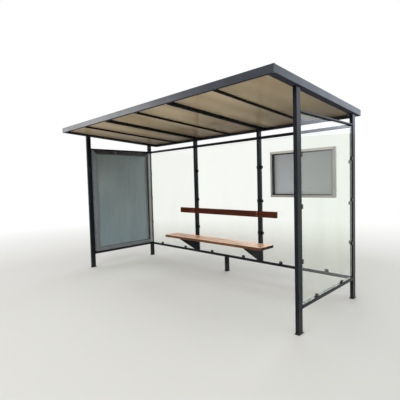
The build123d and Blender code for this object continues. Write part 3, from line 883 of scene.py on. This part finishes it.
def poster_case_shade_seals(work):
    """Rubber packing that fills the gaps between the poster case and the rails above and below it, black to
    paint the shade in these gaps.
    """
    width, inset, corner = 28 * MM, 2 * MM, 3 * MM
    x = -POST_X - width / 2
    side_rail_bottom = SIDE_RAIL_Z - SIDE_RAIL_HALF
    for bottom, top in ((LOWER_RAIL_TOP, poster_box[0].z), (poster_box[1].z, side_rail_bottom)):
        start = Vector((x, poster_box[0].y + inset, bottom))
        end = Vector((x, poster_box[1].y - inset, bottom))
        section = rounded(width, top - bottom, corner)
        run_strip(work, start, end, Vector((1, 0, 0)), Vector((0, 0, 1)), section)


def rafter_plugs(work):
    """Plugs in the front ends of the two main rafters, whose lower part shows below the front beam."""
    wall, set_back, length, corner = 2.2 * MM, 0.6 * MM, 6 * MM, 1.5 * MM
    for low, high in solids_of("main_rafters"):
        half = (high.x - low.x) / 2
        side = half - wall
        down, above = FRONT_BEAM_BACK + set_back, SHEET_UNDERSIDE - 2 * half + wall
        start = on_roof((low.x + high.x) / 2 - side, down, above)
        end = start + length * ROOF_BACK
        run_strip(work, start, end, Vector((1, 0, 0)), ROOF_UP, rounded(2 * side, 2 * side, corner))


def poster_rear_strip(work):
    """Silver strip up the face of the poster case's rear stile."""
    width, from_edge, from_ends = 40 * MM, 14 * MM, 8 * MM
    x, y = poster_box[1].x, poster_box[1].y - from_edge - width
    start = Vector((x, y, poster_box[0].z + from_ends))
    end = Vector((x, y, poster_box[1].z - from_ends))
    section = rounded(width, 2.5 * MM, 1.5 * MM)
    run_strip(work, start, end, Vector((0, 1, 0)), Vector((1, 0, 0)), section)


def poster_rear_shade_seal(work):
    """Wide rubber seal beside the rear stile, on the cover, that paints the shade on the stile's inner side.
    """
    width, from_bar = 24 * MM, 6 * MM
    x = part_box("poster_case_cover")[1].x
    y = poster_box[1].y - POSTER_BAR - from_bar - width
    start = Vector((x, y, poster_box[0].z + POSTER_BAR))
    end = Vector((x, y, poster_box[1].z - POSTER_BAR))
    section = rounded(width, 2.0 * MM, 1.0 * MM)
    run_strip(work, start, end, Vector((0, 1, 0)), Vector((1, 0, 0)), section)


piece("poster_case_gasket", poster_gasket, grey_rubber)
piece("notice_case_gasket", notice_gasket, rubber)
piece("poster_case_shade_lining", poster_shade_lining, rubber)
piece("notice_case_shade_lining", notice_shade_lining, rubber)
piece("poster_case_shade_seals", poster_case_shade_seals, rubber)
piece("poster_case_rear_strip", poster_rear_strip, silver_strip)
piece("poster_case_rear_shade_seal", poster_rear_shade_seal, rubber)


# Edges of the panes, and the roof's seals and end strips


def pane_edges(work):
    """The ground edge round each pane, a skin over its rim with two small chamfers."""
    skin, lap = 0.2 * MM, 1.0 * MM
    panes = (("back_glass_left", 1), ("back_glass_middle", 1), ("back_glass_right", 1), ("right_glass", 0))
    for node, axis in panes:
        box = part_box(node)
        low, high = box[0][axis], box[1][axis]
        thick = high - low
        outside = [(lap, -skin), (0, -skin), (-skin, 0), (-skin, thick), (0, thick + skin)]
        inside = [(lap, thick + skin), (lap, thick + skin / 2), (0.0, thick / 2), (lap, -skin / 2)]
        upright_ring(work, box, axis, low, 1, 0.0, outside + inside)


def sheet_seal():
    """The section of the rubber in the 3 mm gap round the roof sheets, a little higher than these."""
    return rounded(2.9 * MM, 12.5 * MM, 1.4 * MM)


def roof_side_seals(work):
    """Rubber in the gap between the outer sheets and the side beams."""
    from_front, from_back = 3 * MM, 2 * MM
    for sx in (-1, 1):
        start = on_roof(sx * BEAM_INNER_X, FRONT_BEAM_BACK + from_front, SHEET_UNDERSIDE)
        end = on_roof(sx * BEAM_INNER_X, ROOF_LENGTH - from_back, SHEET_UNDERSIDE)
        run_strip(work, start, end, Vector((-sx, 0, 0)), ROOF_UP, sheet_seal())


def roof_front_seal(work):
    """Rubber in the gap between the sheets and the front beam."""
    start = on_roof(-BEAM_INNER_X, FRONT_BEAM_BACK, SHEET_UNDERSIDE)
    end = on_roof(BEAM_INNER_X, FRONT_BEAM_BACK, SHEET_UNDERSIDE)
    run_strip(work, start, end, ROOF_BACK, ROOF_UP, sheet_seal())


def roof_end_strips(work):
    """Thin folded strips that close the sheets' flutes at the low end and lap over their tops."""
    thin, lap, drop, hair = 1.2 * MM, 18 * MM, 12 * MM, 0.1 * MM
    section = [(-lap, hair), (-lap, thin), (thin, thin), (thin, -drop), (hair, -drop), (hair, hair)]
    at_beam, at_cover_strip = 1 * MM, 31 * MM
    for node, left_gap, right_gap in (
        ("roof_sheet_left", at_beam, at_cover_strip),
        ("roof_sheet_middle", at_cover_strip, at_cover_strip),
        ("roof_sheet_right", at_cover_strip, at_beam),
    ):
        low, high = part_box(node)
        start = on_roof(low.x + left_gap, ROOF_LENGTH, SHEET_TOP)
        end = on_roof(high.x - right_gap, ROOF_LENGTH, SHEET_TOP)
        run_strip(work, start, end, ROOF_BACK, ROOF_UP, section)


piece("pane_ground_edges", pane_edges, edge_glass)
piece("roof_side_seals", roof_side_seals, rubber)
piece("roof_front_seal", roof_front_seal, rubber)
piece("rafter_plugs", rafter_plugs, rubber)
piece("roof_end_strips", roof_end_strips, silver_strip)


# Floor, light and camera


def background_seen(tree):
    """Full for what is seen straight, in a mirror or through glass, and none for light on the shelter."""
    path = add(tree, "ShaderNodeLightPath").node
    seen = {0: path.outputs["Is Camera Ray"], 1: path.outputs["Is Glossy Ray"]}
    either = add(tree, "ShaderNodeMath", seen, operation="MAXIMUM")
    seen = {0: either, 1: path.outputs["Is Transmission Ray"]}
    return add(tree, "ShaderNodeMath", seen, operation="MAXIMUM")


def pale_floor():
    """A plain pale floor that fades to white at a distance and keeps the shadow."""
    fade_start, fade_end = 3.5, 9.0
    bpy.ops.mesh.primitive_circle_add(vertices=96, radius=40, fill_type="NGON", location=(0, 0, 0))
    floor = bpy.context.object
    floor.name = "studio_floor"
    material, tree, here = surface("pale_studio_floor")
    away = add(tree, "ShaderNodeVectorMath", {0: here}, out="Value", operation="LENGTH")
    far = add(tree, "ShaderNodeMapRange", {"Value": away, "From Min": fade_start, "From Max": fade_end})
    fade = add(tree, "ShaderNodeMath", {0: far, 1: background_seen(tree)}, operation="MULTIPLY")
    matt = add(tree, "ShaderNodeBsdfPrincipled", {"Base Color": linear("D9D8D4"), "Roughness": 0.85})
    white = add(tree, "ShaderNodeEmission", {"Color": (1, 1, 1, 1), "Strength": 1.0})
    mixed = add(tree, "ShaderNodeMixShader", {0: fade, 1: matt, 2: white})
    add(tree, "ShaderNodeOutputMaterial", {"Surface": mixed})
    floor.data.materials.append(material)


def studio_world(strength):
    """Soft white light all round, seen as plain white."""
    world = bpy.data.worlds.new("studio_world")
    bpy.context.scene.world = world
    world.use_nodes = True
    tree = world.node_tree
    tree.nodes.clear()
    light = add(tree, "ShaderNodeBackground", {"Color": (1, 1, 1, 1), "Strength": strength})
    shown = add(tree, "ShaderNodeBackground", {"Color": (1, 1, 1, 1), "Strength": 1.0})
    mixed = add(tree, "ShaderNodeMixShader", {0: background_seen(tree), 1: light, 2: shown})
    add(tree, "ShaderNodeOutputWorld", {0: mixed})


def lamp(name, spot, target, size, power, tint="FFFFFF"):
    """A soft oblong lamp of some watts, aimed at a point. The camera doesn't see the lamp itself."""
    data = bpy.data.lights.new(name, "AREA")
    data.shape = "RECTANGLE"
    data.size, data.size_y = size
    data.energy = power
    data.color = linear(tint)[:3]
    obj = bpy.data.objects.new(name, data)
    bpy.context.scene.collection.objects.link(obj)
    direction = Vector(target) - Vector(spot)
    obj.matrix_world = Matrix.Translation(spot) @ direction.to_track_quat("-Z", "Y").to_matrix().to_4x4()
    obj.visible_camera = False


def photo_camera():
    """The camera stands in front of the right end and looks along the shelter to the left. Its place, turn
    and focal length in pixels were solved from the photo's straight edges."""
    focal_pixels, picture_pixels, sensor_width = 339.21, 400, 36.0
    spot = Vector((3.7596, -3.5470, 1.5282))
    yaw, pitch, roll = (math.radians(a) for a in (-45.0224, -3.0037, -1.5082))
    forward = Vector((math.sin(yaw) * math.cos(pitch), math.cos(yaw) * math.cos(pitch), math.sin(pitch)))
    right = forward.cross(Vector((0, 0, 1))).normalized()
    up = right.cross(forward)
    across = math.cos(roll) * right + math.sin(roll) * up
    above = -math.sin(roll) * right + math.cos(roll) * up
    data = bpy.data.cameras.new("photo_camera")
    data.sensor_width = sensor_width
    data.lens = focal_pixels * sensor_width / picture_pixels
    camera = bpy.data.objects.new("photo_camera", data)
    bpy.context.scene.collection.objects.link(camera)
    turn = Matrix((across, above, -forward)).transposed().to_4x4()
    camera.matrix_world = Matrix.Translation(spot) @ turn
    bpy.context.scene.camera = camera


pale_floor()
studio_world(strength=0.75)
lamp("soft_key", (1.5, -5.5, 7.5), (0, 0, 1.0), (4.0, 4.0), 200)
lamp("low_left", (-10.6, -7.4, 5.3), (0, -1.0, 2.4), (7.0, 3.2), 220)
lamp("low_back", (-4.5, 14.7, 6.4), (2.0, 0, 0.3), (10.0, 3.4), 700)
lamp("low_right", (7.2, 10.9, 5.2), (2.1, 0, 2.4), (7.0, 3.5), 120, "D6E2FA")
photo_camera()
bpy.context.scene.view_settings.view_transform = "Standard"
